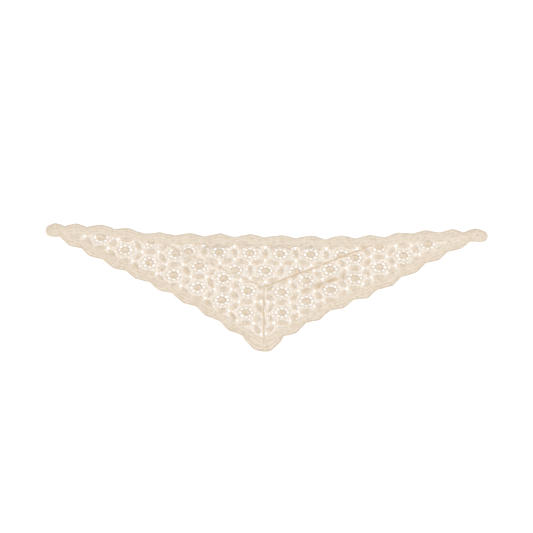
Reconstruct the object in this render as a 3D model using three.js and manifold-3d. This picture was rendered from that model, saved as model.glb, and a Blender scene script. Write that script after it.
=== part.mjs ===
// A triangular crochet lace scarf, laid out flat.
//
// Millimetres. X runs from the left tip to the right tip, Y from the bottom point up to the long
// top edge, and Z up from the surface that the scarf lies on. The origin is the middle of the
// outline, on that surface.
//
// Three lace panels meet in a Y: a shallow triangle inset at the top and two long wings, which are
// joined down the middle. A dense scalloped edging is worked on round them, in three lengths.
// The lace is a honeycomb: a rosette with eight eyelets in each cell, a leaf along each side of the
// cell, and an opening in each corner where three leaves meet.
import * as THREE from "three";
import { ConvexGeometry } from "three/addons/geometries/ConvexGeometry.js";
import { mergeVertices } from "three/addons/utils/BufferGeometryUtils.js";
import Module from "manifold-3d";

const wasm = await Module();
wasm.setup();

// ---- Sizes of the whole scarf ----
const HALF_SPAN = 551; // from the middle to each tip
const TOP_LOW = { x: 150, y: 280.4 }; // where the top edge's scallop valleys lie lowest
const TOP_SLOPE = 0.0225; // how they rise from there towards both tips
const TIP_HEIGHT = { left: 23.5, right: 22.4 }; // the two edgings side by side, out at a tip
const TIP_RUN = 40; // how far in from a tip its lower edging starts to part from the top one
const TIP_ROUND = { length: 14, inset: 7 }; // the rounding of each tip's end

// The top edge rises once more beyond each end of the inset.
const TOP_STEPS = [
  { from: -262, to: -430, rise: 17 },
  { from: 278, to: 385, rise: 9 },
];

// How far each lower edge is drawn inwards: the heights of one, two and three half waves along it.
const LOWER_BOW = { left: [8.6, 4.2, 0], right: [1, 3, 3.2] };

const POINT_X = -7; // the bottom point, and the middle seam above it
const POINT_HALF = 50; // half the width of the lobe at the bottom point
const POINT_TOP = 38; // where that lobe starts
const POINT_SHARPNESS = 2.2; // 1 gives a pointed lobe, and more a blunter one
const YOKE_POINT = new THREE.Vector2(POINT_X, 161); // where the three panels meet
const YOKE_LEFT = -262; // where the inset's seams reach the top edging
const YOKE_RIGHT = 262;

// ---- Thicknesses and seams ----
const GROUND = 1.4; // plain lace ground
const CREST = 2.4; // leaves, rosettes and the edging's ribs
const GROOVE = 1.6; // between the edging's ribs
const SEAM_TOP = 2.7; // the turned seam allowance
const SEAM_WIDTH = 3.4; // of the allowance on each side of a seam
const SEAM_RIDGE = 0.35; // how much of that width its top takes
const SEAM_OVERRUN = 6; // past each end of a seam, before the allowance is cut to its panel
const SEAM_GAP = 0.3;
const BAND = 18; // width of the edging from its valleys to the panels
const SLANT = 1.13; // how much taller a sloping band is than it is wide
const SUNK = 0.3; // how far raised forms go down into the ground

// ---- Scallops: each row is one stretch of an edge, from its left end to its right end ----
const TOP_STRETCHES = [
  { lobes: 1, width: 45, depth: 8, steps: 8 },
  { lobes: 1, width: 57.5, depth: 8.5, steps: 6 },
  { lobes: 1, width: 67.5, depth: 7, steps: 6 },
  { lobes: 8, width: 75.6, depth: 7.8, steps: 6 },
  { lobes: 3, width: 70, depth: 7.6, steps: 6 },
  { lobes: 1, width: 60, depth: 9, steps: 6 },
  { lobes: 1, width: 57.2, depth: 9, steps: 8 },
];
const LEFT_STRETCHES = [
  { lobes: 1, width: 36, depth: 2, steps: 8 },
  { lobes: 2, width: 52.5, depth: 9.6, steps: 6 },
  { lobes: 6, width: 58.5, depth: 8.8, steps: 6 },
];
const RIGHT_STRETCHES = [
  { lobes: 1, width: 55, depth: 10.3, steps: 6 },
  { lobes: 5, width: 60, depth: 10.2, steps: 6 },
  { lobes: 2, width: 55.6, depth: 8.8, steps: 6 },
  { lobes: 1, width: 42.2, depth: 2, steps: 8 },
];
const LOBE_BEND = 1.15; // 1 gives a straight-sided lobe, 2 a round one
const LOBE_SKEW = 0.095; // a sloping edge's lobes lean this much towards its upper end
const POINT_STEPS = 6; // across half of the lobe at the bottom point

// ---- The lace ----
const EYELETS = 8; // in each rosette
const EYELET = { inner: 10.4, outer: 15.6, spread: 0.27 }; // its near and far edge, and half its angle
const EYELET_TAPER = 0.72; // the near edge is this much narrower in angle
const HEART = { radius: 8.6, top: 5.2 }; // the rosette's solid middle
const RIM = { radius: 18, width: 3.6, drop: 0.2 }; // the ring round its eyelets, lower than CREST
const CORNER_HOLE = 4.6; // reach of the opening where three leaves meet
const CORNER_NOTCH = 2.4; // reach of its sides
const LEAF_WIDTH = 10.4; // at its foot
const LEAF_CLEAR = 5; // from a cell's corner to the tip of a leaf
const LEAF_SHOULDER = 0.2; // half the length of a leaf's widest part, as a share of its length
const LEAF_CREST = 0.26; // half the length of its crest, likewise
const HOLE_MARGIN = 2.2; // lace left between an opening and the edge of its panel
const MOST_CELLS = 9; // how many cells a panel is searched for, each way
const CELL_REACH = 60; // a cell whose centre is further than this from a panel has nothing in it

// One row for each panel: the first rosette's place, the steps to the next in its row and in the
// next row, the way from a main leaf's middle to its two corners, and the rosette's stretch.
const LACE = {
  yoke: {
    first: [-42.1, 245.9], main: [76.4, -1.9], next: [37.3, 43], corner: [0, 17], stretch: [1.12, 0.84],
  },
  wing_left: {
    first: [-51.4, 97.2], main: [4.4, 53.6], next: [-60.4, 31.3], corner: [-20.3, 0], stretch: [1.12, 0.84],
  },
  wing_right: {
    first: [38.6, 96.9], main: [-0.6, 51.3], next: [60.7, 28.5], corner: [20.3, 0], stretch: [1.12, 0.84],
  },
};

const v2 = (x, y) => new THREE.Vector2(x, y);
const range = (n) => [...Array(n).keys()];

// ---- The outline, as heights at each x ----

// The scallop valleys of the top edge.
function topLine(x) {
  const rises = TOP_STEPS.map(({ from, to, rise }) => (
    rise * THREE.MathUtils.smoothstep((x - from) / (to - from), 0, 1)));
  return TOP_LOW.y + TOP_SLOPE * Math.abs(x - TOP_LOW.x) + rises[0] + rises[1];
}

// The scallop valleys of the lower edges: from the bottom lobe straight up to the tips, drawn in a
// little on the way, and level with the top edge once they have come as near it as a tip is high.
function lowerLine(x) {
  const side = x < POINT_X ? "left" : "right";
  const tip = (HALF_SPAN - TIP_RUN) * (side === "left" ? -1 : 1);
  const climb = topLine(tip) - TIP_HEIGHT[side] - POINT_TOP;
  const share = (Math.abs(x - POINT_X) - POINT_HALF) / (HALF_SPAN - POINT_HALF - TIP_RUN);
  const turn = Math.PI * THREE.MathUtils.clamp(share, 0, 1);
  const bow = LOWER_BOW[side].reduce((sum, height, i) => sum + height * Math.sin((i + 1) * turn), 0);
  return Math.min(POINT_TOP + climb * share + bow, topLine(x) - TIP_HEIGHT[side]);
}

// The lobes of an edge, from its left end: where each starts and ends, how deep it is, and how
// finely it is stepped.
function lobesOf(stretches, start) {
  const lobes = [];
  let from = start;
  for (const { lobes: count, width, depth, steps } of stretches)
    for (let i = 0; i < count; i++) {
      lobes.push({ from, to: from + width, depth, steps });
      from += width;
    }
  return lobes;
}

// How far a lobe stands out at x. peak is the share of its width at which it is deepest.
function lobeReach(lobe, x, peak) {
  const t = THREE.MathUtils.clamp((x - lobe.from) / (lobe.to - lobe.from), 0, 1);
  const s = t < peak ? t / peak : (1 - t) / (1 - peak);
  return lobe.depth * (1 - Math.pow(1 - s, LOBE_BEND));
}

// How far the end of each tip is rounded off.
function tipInset(x) {
  const s = THREE.MathUtils.clamp(1 - (HALF_SPAN - Math.abs(x)) / TIP_ROUND.length, 0, 1);
  return TIP_ROUND.inset * (1 - Math.sqrt(1 - s * s));
}

const middleLine = (x) => (topLine(x) + lowerLine(x)) / 2;
const topInner = (x) => Math.max(topLine(x) - BAND, middleLine(x) + SEAM_GAP / 2);
const lowerInner = (x) => Math.min(lowerLine(x) + BAND * SLANT, middleLine(x) - SEAM_GAP / 2);

// The stations of an edge: every x at which it is stepped, with its outer height there.
function stations(lobes, peak, outer) {
  const made = [];
  lobes.forEach((lobe, n) => {
    const width = lobe.to - lobe.from;
    const half = lobe.steps / 2;
    const share = (i) => (i <= half ? (i / half) * peak : 1 - (2 - i / half) * (1 - peak));
    const shares = range(lobe.steps + 1).map(share);
    for (const along of n ? shares.slice(1) : shares) {
      const x = lobe.from + along * width;
      made.push({ x, outer: outer(x, lobeReach(lobe, x, peak)) });
    }
  });
  return made;
}

const topStations = stations(
  lobesOf(TOP_STRETCHES, -HALF_SPAN), 0.5, (x, reach) => topLine(x) + reach - tipInset(x));

const lowerOuter = (x, reach) => lowerLine(x) - reach + tipInset(x);
const lengthOf = (stretches) => stretches.reduce((sum, row) => sum + row.lobes * row.width, 0);
const leftLobes = lobesOf(LEFT_STRETCHES, -HALF_SPAN);
const rightLobes = lobesOf(RIGHT_STRETCHES, HALF_SPAN - lengthOf(RIGHT_STRETCHES));

// Half of the lobe at the bottom point, from the seam out to the first valley at x = end.
function pointStations(end) {
  const start = POINT_X + (Math.sign(end - POINT_X) * SEAM_GAP) / 2;
  return range(POINT_STEPS).map((i) => {
    const x = start + ((end - start) * i) / POINT_STEPS;
    const share = (x - POINT_X) / (end - POINT_X);
    return { x, outer: lowerLine(end) * Math.pow(share, POINT_SHARPNESS) };
  });
}

const leftEnd = leftLobes.at(-1).to;
const rightStart = rightLobes[0].from;
const leftStations = [
  ...stations(leftLobes, 0.5 - LOBE_SKEW, lowerOuter), ...pointStations(leftEnd).reverse()];
const rightStations = [
  ...pointStations(rightStart), ...stations(rightLobes, 0.5 + LOBE_SKEW, lowerOuter)];

// ---- Solids ----

// A three.js geometry as a solid.
function solid(geometry) {
  const bare = geometry.index ? geometry.toNonIndexed() : geometry.clone();
  const extra = Object.keys(bare.attributes).filter((name) => name !== "position");
  extra.forEach((name) => bare.deleteAttribute(name));
  const merged = mergeVertices(bare, 1e-4);
  return new wasm.Manifold(new wasm.Mesh({
    numProp: 3,
    vertProperties: merged.attributes.position.array,
    triVerts: new Uint32Array(merged.index.array),
  }));
}

// A solid as a three.js geometry.
function geometryOf(made) {
  const mesh = made.getMesh();
  const geometry = new THREE.BufferGeometry();
  geometry.setAttribute("position", new THREE.BufferAttribute(mesh.vertProperties, mesh.numProp));
  geometry.setIndex(new THREE.BufferAttribute(mesh.triVerts, 1));
  return geometry;
}

// An upright block on an outline.
function block(outline, bottom, top) {
  const shape = new THREE.Shape(outline);
  const geometry = new THREE.ExtrudeGeometry(shape, { depth: top - bottom, bevelEnabled: false });
  return solid(geometry.translate(0, 0, bottom));
}

// The edging's section at one station, from its outer foot over three ribs to its inner foot.
const RIBS = [GROUND, CREST, GROOVE, CREST, GROOVE, CREST, GROUND];
function bandSection({ x, outer }, inner) {
  const across = (share) => THREE.MathUtils.lerp(outer, inner(x), share);
  const top = RIBS.map((height, i) => new THREE.Vector3(x, across(i / (RIBS.length - 1)), height));
  return [new THREE.Vector3(x, outer, 0), ...top, new THREE.Vector3(x, inner(x), 0)];
}

// A closed solid through a row of sections, each a ring of the same number of points in a plane
// across X. The sections run towards +X, and their rings are turned the same way round first.
function loft(sections) {
  const flat = (ring) => ring.map((p) => v2(p.y, p.z));
  const backwards = THREE.ShapeUtils.area(flat(sections[0])) < 0;
  const rings = backwards ? sections.map((ring) => ring.toReversed()) : sections;
  const count = rings[0].length;
  const points = rings.flat();
  const last = points.length - count;
  const faces = [];
  for (let s = 0; s < last; s += count)
    for (const i of range(count)) {
      const a = s + i;
      const b = s + ((i + 1) % count);
      faces.push(a, b, b + count, a, b + count, a + count);
    }
  for (const start of [0, last]) {
    const ends = flat(points.slice(start, start + count));
    for (const face of THREE.ShapeUtils.triangulateShape(ends, [])) {
      const anticlockwise = THREE.ShapeUtils.area(face.map((i) => ends[i])) > 0;
      const ordered = anticlockwise === (start === last) ? face : face.toReversed();
      faces.push(...ordered.map((i) => start + i));
    }
  }
  return solid(new THREE.BufferGeometry().setFromPoints(points).setIndex(faces));
}

// ---- Lace ----

// A leaf between two corners of a cell: pointed at both ends, with a crest along its middle.
function leaf(from, to) {
  const along = to.clone().sub(from);
  const length = along.length() - 2 * LEAF_CLEAR;
  along.normalize();
  const side = v2(-along.y, along.x);
  const middle = from.clone().add(to).multiplyScalar(0.5);
  const at = (u, v, z) => new THREE.Vector3(
    middle.x + along.x * u + side.x * v, middle.y + along.y * u + side.y * v, z);
  const shoulders = [-1, 1].flatMap((end) => [-0.5, 0.5].map((across) => [end * LEAF_SHOULDER, across]));
  const foot = [[0.5, 0], [-0.5, 0], ...shoulders];
  const crest = [[LEAF_CREST, 0], [-LEAF_CREST, 0]];
  return solid(new ConvexGeometry([
    ...foot.map(([u, v]) => at(u * length, v * LEAF_WIDTH, GROUND - SUNK)),
    ...crest.map(([u, v]) => at(u * length, v * LEAF_WIDTH, CREST)),
  ]));
}

// A rosette's raised parts: its solid heart and the ring round its eyelets.
function rosette(centre, stretch) {
  const turned = (geometry) => geometry
    .rotateX(Math.PI / 2).rotateZ(Math.PI / EYELETS).scale(stretch[0], stretch[1], 1)
    .translate(centre.x, centre.y, 0);
  const height = CREST - GROUND + SUNK;
  const heart = new THREE.CylinderGeometry(HEART.top, HEART.radius, height, EYELETS);
  const ring = new THREE.LatheGeometry([
    v2(RIM.radius - RIM.width / 2, GROUND - SUNK),
    v2(RIM.radius + RIM.width / 2, GROUND - SUNK),
    v2(RIM.radius, CREST - RIM.drop),
    v2(RIM.radius - RIM.width / 2, GROUND - SUNK),
  ], EYELETS);
  heart.translate(0, GROUND - SUNK + height / 2, 0);
  return [solid(turned(heart)), solid(turned(ring))];
}

// The outline of one eyelet: a wedge, narrower towards the rosette's heart.
function eyelet(centre, stretch, n) {
  const turn = (n * 2 * Math.PI) / EYELETS;
  const at = (radius, angle) => v2(
    centre.x + stretch[0] * radius * Math.cos(turn + angle),
    centre.y + stretch[1] * radius * Math.sin(turn + angle));
  const near = EYELET.spread * EYELET_TAPER;
  return [
    at(EYELET.inner, -near), at(EYELET.outer, -EYELET.spread),
    at(EYELET.outer, EYELET.spread), at(EYELET.inner, near),
  ];
}

// The outline of the opening in a cell's corner, reaching out between the three leaves.
function cornerHole(centre, arms) {
  return arms.flatMap((arm, i) => {
    const reach = centre.clone().addScaledVector(arm, CORNER_HOLE);
    const between = arm.clone().add(arms[(i + 1) % arms.length]).normalize();
    return [reach, centre.clone().addScaledVector(between, CORNER_NOTCH)];
  });
}

// Everything in the honeycomb of one panel, before it is cut to the panel's outline.
function honeycomb({ first, main, next, corner, stretch }) {
  const [start, toMain, toNext, toCorner] = [first, main, next, corner].map(([x, y]) => v2(x, y));
  const corner0 = toMain.clone().multiplyScalar(0.5).add(toCorner);
  const corner1 = toMain.clone().multiplyScalar(0.5).sub(toCorner);
  const side = toNext.clone().addScaledVector(toMain, -0.5).sub(toCorner);
  const unit = (from, to) => to.clone().sub(from).normalize();
  const far = side.clone().negate();
  // Each opening reaches out between its leaves, so its arms point away from them.
  const arms0 = [unit(corner1, corner0), unit(side, corner0), v2(0, 0)];
  arms0[2].sub(arms0[0]).sub(arms0[1]).normalize();
  const arms1 = [unit(corner0, corner1), unit(far, corner1), v2(0, 0)];
  arms1[2].sub(arms1[0]).sub(arms1[1]).normalize();
  const cells = [];
  const steps = range(2 * MOST_CELLS + 1).map((i) => i - MOST_CELLS);
  for (const i of steps)
    for (const j of steps) {
      const centre = start.clone().addScaledVector(toMain, i).addScaledVector(toNext, j);
      const at = (offset) => centre.clone().add(offset);
      cells.push({
        centre,
        stretch,
        leaves: [[corner0, corner1], [corner0, side], [corner1, far]].map((ends) => ends.map(at)),
        corners: [{ centre: at(corner0), arms: arms0 }, { centre: at(corner1), arms: arms1 }],
      });
    }
  return cells;
}

const cross = (a, b) => a.x * b.y - a.y * b.x;

// How deep a point lies inside an outline, and below nought outside it.
function depthInside(outline, p) {
  let inside = false;
  let nearest = Infinity;
  outline.forEach((a, i) => {
    const b = outline[(i + 1) % outline.length];
    const side = b.clone().sub(a);
    const t = THREE.MathUtils.clamp(p.clone().sub(a).dot(side) / side.lengthSq(), 0, 1);
    nearest = Math.min(nearest, a.clone().addScaledVector(side, t).distanceTo(p));
    const spans = a.y > p.y !== b.y > p.y;
    if (spans && p.x < a.x + ((p.y - a.y) / (b.y - a.y)) * (b.x - a.x)) inside = !inside;
  });
  return inside ? nearest : -nearest;
}

// The turned seam allowance along one straight side of a panel: half of it lies on each panel.
function allowance([from, to]) {
  const along = to.clone().sub(from).normalize();
  const side = v2(-along.y, along.x);
  const at = (p, u, v, z) => new THREE.Vector3(
    p.x + along.x * u + side.x * v, p.y + along.y * u + side.y * v, z);
  const points = [];
  for (const [p, u] of [[from, -SEAM_OVERRUN], [to, SEAM_OVERRUN]])
    for (const across of [-SEAM_WIDTH, SEAM_WIDTH]) {
      points.push(at(p, u, across, GROUND - SUNK));
      points.push(at(p, u, across * SEAM_RIDGE, SEAM_TOP));
    }
  return solid(new ConvexGeometry(points));
}

// A plain slab of ground, larger than the outline all round and deeper than the part.
function slab(outline) {
  const { min, max } = new THREE.Box2().setFromPoints(outline).expandByScalar(SEAM_OVERRUN);
  return block([min, v2(max.x, min.y), max, v2(min.x, max.y)], -1, GROUND);
}

// One lace panel: ground and raised forms, cut to its outline, with the openings cut through.
function panel(name, outline, seams) {
  const cells = honeycomb(LACE[name]);
  const margin = (p) => depthInside(outline, p);
  const clearOfSeams = (p) => seams.every(([a, b]) => {
    const side = b.clone().sub(a);
    return Math.abs(cross(side, p.clone().sub(a))) / side.length() > SEAM_WIDTH + HOLE_MARGIN / 2;
  });
  const openings = cells.flatMap(({ centre, stretch, corners }) => [
    ...range(EYELETS).map((n) => eyelet(centre, stretch, n)),
    ...corners.map((c) => cornerHole(c.centre, c.arms)),
  ]).filter((hole) => hole.every((p) => margin(p) > HOLE_MARGIN && clearOfSeams(p)));
  const near = cells.filter(({ centre }) => margin(centre) > -CELL_REACH);
  const raised = [
    ...near.filter(({ centre }) => margin(centre) > -RIM.radius)
      .flatMap(({ centre, stretch }) => rosette(centre, stretch)),
    ...near.flatMap(({ leaves }) => leaves)
      .filter(([a, b]) => margin(a.clone().add(b).multiplyScalar(0.5)) > -LEAF_WIDTH / 3)
      .map(([a, b]) => leaf(a, b)),
    ...seams.map(allowance),
  ];
  const lace = wasm.Manifold.union([slab(outline), ...raised]);
  const cuts = wasm.Manifold.union(openings.map((hole) => block(hole, -1, CREST + 1)));
  return lace.intersect(block(outline, 0, SEAM_TOP + 1)).subtract(cuts);
}

// ---- The panels' outlines ----
const WING_TIP = 3; // height of a wing's blunt tip
const STRAIGHT = 1e-5; // a smaller change of slope is no corner

// Points along a height function from one x to another, at the stations of the edging beside it,
// without those that lie on a straight stretch.
function along(height, steps, from, to) {
  const sign = Math.sign(to - from);
  const between = steps.map(({ x }) => x).filter((x) => (x - from) * sign > 1 && (to - x) * sign > 1);
  const xs = [from, ...between.sort((a, b) => (a - b) * sign), to];
  const slope = (i) => (height(xs[i + 1]) - height(xs[i])) / (xs[i + 1] - xs[i]);
  const turns = (i) => i === 0 || i === xs.length - 1 || Math.abs(slope(i) - slope(i - 1)) > STRAIGHT;
  return xs.filter((x, i) => turns(i)).map((x) => v2(x, height(x)));
}

const panelTop = (x) => topInner(x) - SEAM_GAP;
const panelFoot = (x) => lowerInner(x) + SEAM_GAP;

// The x at which the wing on that side has narrowed to nothing.
function wingTip(sign) {
  let x = 0;
  while (panelTop(sign * x) - panelFoot(sign * x) > WING_TIP) x += 1;
  return sign * x;
}

// A seam's line moved sideways, and the point where two lines cross.
function moved([a, b], by) {
  const side = b.clone().sub(a).normalize();
  const shift = v2(-side.y * by, side.x * by);
  return [a.clone().add(shift), b.clone().add(shift)];
}
function crossing([a, b], [c, d]) {
  const [u, w] = [b.clone().sub(a), d.clone().sub(c)];
  return a.clone().addScaledVector(u, cross(c.clone().sub(a), w) / cross(u, w));
}

const seamLeft = [v2(YOKE_LEFT, panelTop(YOKE_LEFT)), YOKE_POINT];
const seamRight = [YOKE_POINT, v2(YOKE_RIGHT, panelTop(YOKE_RIGHT))];
const seamMiddle = [YOKE_POINT, v2(POINT_X, 0)];
const halfGap = SEAM_GAP / 2;

// The inset: from the point where the panels meet, up its right seam, along its top and down again.
const yokeSides = [moved(seamLeft, halfGap), moved(seamRight, halfGap)];
const yokeTop = along(panelTop, topStations, YOKE_RIGHT - 1, YOKE_LEFT + 1);
yokeTop.splice(0, 1, crossing(yokeSides[1], yokeTop.slice(0, 2)));
yokeTop.splice(-1, 1, crossing(yokeSides[0], yokeTop.slice(-2)));
const yokeOutline = [crossing(...yokeSides), ...yokeTop];

// A wing: along its foot, up the middle seam, up the inset's seam and back along its top.
function wingOutline(sign, insetSeam, insetX) {
  const middle = moved(seamMiddle, sign * halfGap);
  const inset = moved(insetSeam, -halfGap);
  const tip = wingTip(sign);
  const foot = along(panelFoot, sign < 0 ? leftStations : rightStations, tip, POINT_X + sign);
  const top = along(panelTop, topStations, insetX, tip);
  foot.splice(-1, 1, crossing(middle, foot.slice(-2)));
  top.splice(0, 1, crossing(inset, top.slice(0, 2)));
  return [...foot, crossing(middle, inset), ...top];
}

// ---- The scarf ----
const pieces = {
  yoke: panel("yoke", yokeOutline, [seamLeft, seamRight]),
  wing_left: panel("wing_left", wingOutline(-1, seamLeft, YOKE_LEFT), [seamLeft, seamMiddle]),
  wing_right: panel("wing_right", wingOutline(1, seamRight, YOKE_RIGHT), [seamRight, seamMiddle]),
  edging_top: loft(topStations.map((station) => bandSection(station, topInner))),
  edging_left: loft(leftStations.map((station) => bandSection(station, lowerInner))),
  edging_right: loft(rightStations.map((station) => bandSection(station, lowerInner))),
};

const COLOURS = { panel: 0xe6d8c1, edging: 0xdfcfb5 };
const scarf = new THREE.Group();
for (const [name, made] of Object.entries(pieces)) {
  const colour = name.startsWith("edging") ? COLOURS.edging : COLOURS.panel;
  const material = new THREE.MeshStandardMaterial({ color: colour, roughness: 0.92, metalness: 0 });
  const mesh = new THREE.Mesh(geometryOf(made), material);
  mesh.name = name;
  scarf.add(mesh);
}

// The origin is the middle of the outline.
const middle = new THREE.Box3().setFromObject(scarf).getCenter(new THREE.Vector3());
scarf.position.set(-middle.x, -middle.y, 0);

export default scarf;
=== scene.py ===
# %% [markdown]
# # A crochet lace scarf
#
# The real scarf is a long, shallow triangle of cream cotton. Three pieces of lace meet in a Y: an
# inset at the top and a wing on each side. The lace is all rosettes and leaves, and a thick
# scalloped edging is worked round it.
#
# The lace is yarn, so it is made here as yarn. Plain Python draws the paths that the yarn takes
# through one repeat of the pattern. Geometry Nodes repeat them over each panel, trim them to its
# outline and sweep a round section along them. A thin sheet lies under the yarn, with the gaps of
# the lace cut out of it, so that the surface below shows through the gaps and nowhere else.

# %% Load the frame
import math

import bpy
import numpy as np
from mathutils.geometry import delaunay_2d_cdt
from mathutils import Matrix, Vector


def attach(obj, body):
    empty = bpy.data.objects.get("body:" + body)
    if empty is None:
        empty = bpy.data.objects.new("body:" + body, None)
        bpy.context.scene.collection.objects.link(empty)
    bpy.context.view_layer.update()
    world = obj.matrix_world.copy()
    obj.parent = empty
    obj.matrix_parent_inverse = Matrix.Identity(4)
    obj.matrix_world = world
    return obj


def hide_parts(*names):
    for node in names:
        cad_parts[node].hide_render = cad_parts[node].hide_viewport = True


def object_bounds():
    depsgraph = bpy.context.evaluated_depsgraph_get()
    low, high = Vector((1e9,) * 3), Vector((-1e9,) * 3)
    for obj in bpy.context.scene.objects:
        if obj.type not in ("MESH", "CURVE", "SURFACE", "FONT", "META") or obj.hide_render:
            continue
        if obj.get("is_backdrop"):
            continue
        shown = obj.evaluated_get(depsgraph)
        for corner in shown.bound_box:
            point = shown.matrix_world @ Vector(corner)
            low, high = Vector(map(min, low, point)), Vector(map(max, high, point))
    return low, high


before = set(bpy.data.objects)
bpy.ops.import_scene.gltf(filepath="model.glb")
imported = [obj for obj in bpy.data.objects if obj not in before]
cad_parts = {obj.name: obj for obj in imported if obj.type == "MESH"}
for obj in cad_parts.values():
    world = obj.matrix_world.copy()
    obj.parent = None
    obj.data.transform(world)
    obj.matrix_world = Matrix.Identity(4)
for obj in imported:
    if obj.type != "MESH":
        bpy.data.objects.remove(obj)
cad_low, cad_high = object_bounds()
MM = 0.001
TAU = 2 * math.pi
HALF_DEPTH = (cad_high.y - cad_low.y) / 2 / MM  # from the bottom point up to the frame's origin
print(f"the scarf spans {cad_high.x - cad_low.x:.3f} by {cad_high.y - cad_low.y:.3f} m")

# %% [markdown]
# ## The outline
#
# The scallops and the sloping edges follow the same rule as the solids, in millimetres with the
# bottom point at a height of nought. Here the rule works on whole arrays of points, because the
# yarn needs many more of them than the solids do.

# %% The sizes of the outline
HALF_SPAN = 551.0
TOP_LOW = (150.0, 280.4)
TOP_SLOPE = 0.0225
TOP_STEPS = [(-262.0, -430.0, 17.0), (278.0, 385.0, 9.0)]  # from, to, rise
TIP_HEIGHT = {"left": 23.5, "right": 22.4}
TIP_RUN = 40.0
TIP_ROUND = (14.0, 7.0)  # length, inset
LOWER_BOW = {"left": (8.6, 4.2, 0.0), "right": (1.0, 3.0, 3.2)}
POINT_X, POINT_HALF, POINT_TOP, POINT_SHARPNESS = -7.0, 50.0, 38.0, 2.2
YOKE_POINT = (POINT_X, 161.0)
YOKE_LEFT, YOKE_RIGHT = -262.0, 262.0
SEAM_GAP = 0.3
BAND, SLANT = 18.0, 1.13
LOBE_BEND, LOBE_SKEW = 1.15, 0.095
# How many lobes, how wide, how deep, from the left end of each edge to its right end.
TOP_LOBES = [
    (1, 45, 8), (1, 57.5, 8.5), (1, 67.5, 7), (8, 75.6, 7.8), (3, 70, 7.6), (1, 60, 9), (1, 57.2, 9),
]
LEFT_LOBES = [(1, 36, 2), (2, 52.5, 9.6), (6, 58.5, 8.8)]
RIGHT_LOBES = [(1, 55, 10.3), (5, 60, 10.2), (2, 55.6, 8.8), (1, 42.2, 2)]


# %% The lines that the edges follow
def smoothstep(t):
    t = np.clip(t, 0, 1)
    return t * t * (3 - 2 * t)


def top_line(x):
    rises = sum(rise * smoothstep((x - a) / (b - a)) for a, b, rise in TOP_STEPS)
    return TOP_LOW[1] + TOP_SLOPE * np.abs(x - TOP_LOW[0]) + rises


def lower_line_of(x, side):
    tip = (HALF_SPAN - TIP_RUN) * (-1 if side == "left" else 1)
    climb = top_line(np.float64(tip)) - TIP_HEIGHT[side] - POINT_TOP
    share = (np.abs(x - POINT_X) - POINT_HALF) / (HALF_SPAN - POINT_HALF - TIP_RUN)
    turn = np.pi * np.clip(share, 0, 1)
    bow = sum(height * np.sin((i + 1) * turn) for i, height in enumerate(LOWER_BOW[side]))
    return np.minimum(POINT_TOP + climb * share + bow, top_line(x) - TIP_HEIGHT[side])


def lower_line(x):
    return np.where(x < POINT_X, lower_line_of(x, "left"), lower_line_of(x, "right"))


def middle_line(x):
    return (top_line(x) + lower_line(x)) / 2


def top_inner(x):
    return np.maximum(top_line(x) - BAND, middle_line(x) + SEAM_GAP / 2)


def lower_inner(x):
    return np.minimum(lower_line(x) + BAND * SLANT, middle_line(x) - SEAM_GAP / 2)


# %% The scallops
def lobe_reach(x, lobes, start, peak):
    """How far the lobes of an edge stand out at each x."""
    counts, *sizes = np.array(lobes).T
    widths, depths = (np.repeat(size, counts.astype(int)) for size in sizes)
    starts = start + np.concatenate([[0], np.cumsum(widths)[:-1]])
    at = np.clip(np.searchsorted(starts, x, side="right") - 1, 0, len(starts) - 1)
    t = np.clip((x - starts[at]) / widths[at], 0, 1)
    s = np.where(t < peak, t / peak, (1 - t) / (1 - peak))
    return depths[at] * (1 - (1 - s) ** LOBE_BEND)


def tip_inset(x):
    s = np.clip(1 - (HALF_SPAN - np.abs(x)) / TIP_ROUND[0], 0, 1)
    return TIP_ROUND[1] * (1 - np.sqrt(1 - s * s))


def total(lobes):
    return sum(count * width for count, width, _ in lobes)


LEFT_END = -HALF_SPAN + total(LEFT_LOBES)
RIGHT_START = HALF_SPAN - total(RIGHT_LOBES)


def top_outer(x):
    return top_line(x) + lobe_reach(x, TOP_LOBES, -HALF_SPAN, 0.5) - tip_inset(x)


def lower_outer(x):
    left = lobe_reach(x, LEFT_LOBES, -HALF_SPAN, 0.5 - LOBE_SKEW)
    right = lobe_reach(x, RIGHT_LOBES, RIGHT_START, 0.5 + LOBE_SKEW)
    sides = lower_line(x) - np.where(x < POINT_X, left, right) + tip_inset(x)
    end = np.where(x < POINT_X, LEFT_END, RIGHT_START)
    point = lower_line(end) * np.abs((x - POINT_X) / (end - POINT_X)) ** POINT_SHARPNESS
    return np.where((x > LEFT_END) & (x < RIGHT_START), point, sides)


print(f"the top edge's valleys lie {top_line(np.float64(0)):.1f} mm above the bottom point")

# %% [markdown]
# ## The panels' outlines
#
# A panel is cut to straight seams and to the inner edge of the edging. Its outline serves twice: it
# is the shape of the thin sheet under the yarn and, let out a little, it trims the yarn, which is
# worked a short way into the edging.

# %% Helpers in the plane
def unit(way):
    return way / np.linalg.norm(way)


def left_of(way):
    return np.array([-way[1], way[0]])


def moved(line, by):
    """A line moved sideways to its left."""
    return line + left_of(unit(line[1] - line[0])) * by


def crossing(first, second):
    u, w, gap = first[1] - first[0], second[1] - second[0], second[0] - first[0]
    return first[0] + u * (gap[0] * w[1] - gap[1] * w[0]) / (u[0] * w[1] - u[1] * w[0])


def area_of(loop):
    """The area inside a loop. It is below nought if the loop runs clockwise."""
    x, y = loop[:, 0], loop[:, 1]
    return (np.dot(x, np.roll(y, -1)) - np.dot(y, np.roll(x, -1))) / 2


def anticlockwise(loop):
    return loop if area_of(loop) > 0 else loop[::-1]


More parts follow.
